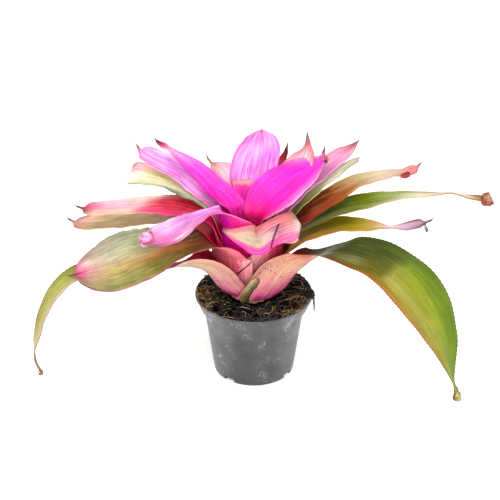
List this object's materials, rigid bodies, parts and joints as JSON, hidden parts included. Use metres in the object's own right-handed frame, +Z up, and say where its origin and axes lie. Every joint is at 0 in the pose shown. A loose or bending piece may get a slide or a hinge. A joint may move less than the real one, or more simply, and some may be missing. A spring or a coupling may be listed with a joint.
{
  "type": "neoregelia bromeliad in nursery pot",
  "caption": "Potted neoregelia bromeliad: a rosette of arching strap leaves, magenta at its heart and green outside, in a plain round tapered nursery pot.",
  "frame": {"origin": "centre of the pot's base, on the pot's axis, on the surface that the pot stands on", "axes": "+Z up along the pot's axis; +X to the right and -Y to the front, as the plant is seen in its usual view; the longest leaves reach out along X"},
  "size_m": [0.4621, 0.2857, 0.2379],
  "materials": {
    "pot_plastic": "dark grey injection-moulded polypropylene, semi-matt, with fine scuffs",
    "potting_mix": "damp peat with coir fibre and bark chips",
    "stem_tissue": "matt plant tissue",
    "dry_bract": "dry olive-brown leaf tissue, matt",
    "leaf_olive": "smooth waxy leaf blade, satin, slightly leathery",
    "leaf_grey_green": "smooth waxy leaf blade, satin, slightly leathery",
    "leaf_crimson": "smooth waxy leaf blade, satin, slightly leathery",
    "leaf_cream": "smooth waxy leaf blade, satin, slightly leathery",
    "leaf_lilac": "smooth waxy leaf blade, satin, slightly leathery",
    "leaf_magenta": "smooth waxy leaf blade, satin, slightly leathery",
    "leaf_pale_pink": "smooth waxy leaf blade, satin, slightly leathery",
    "leaf_russet": "smooth waxy leaf blade, satin, slightly leathery",
    "leaf_green": "smooth waxy leaf blade, satin, slightly leathery"
  },
  "bodies": {
    "root": {"pot": "pot_plastic", "soil": "potting_mix", "stem": "stem_tissue", "leaf_01": "leaf_olive", "leaf_02": "leaf_grey_green", "leaf_03": "leaf_crimson", "leaf_04": "leaf_olive", "leaf_05": "leaf_cream", "leaf_06": "leaf_lilac", "leaf_07": "leaf_magenta", "leaf_08": "leaf_pale_pink", "leaf_09": "leaf_lilac", "leaf_10": "leaf_crimson", "leaf_11": "leaf_pale_pink", "leaf_12": "leaf_magenta", "leaf_13": "leaf_lilac", "leaf_14": "leaf_cream", "leaf_15": "leaf_russet", "leaf_16": "leaf_green", "leaf_17": "leaf_olive", "leaf_18": "leaf_green", "leaf_19": "leaf_pale_pink", "leaf_20": "leaf_magenta", "leaf_21": "leaf_lilac", "leaf_22": "leaf_green", "leaf_23": "leaf_green", "leaf_24": "leaf_olive", "leaf_25": "leaf_magenta", "leaf_26": "leaf_magenta", "leaf_27": "leaf_magenta", "dry_bract": "dry_bract"}
  },
  "joints": []
}
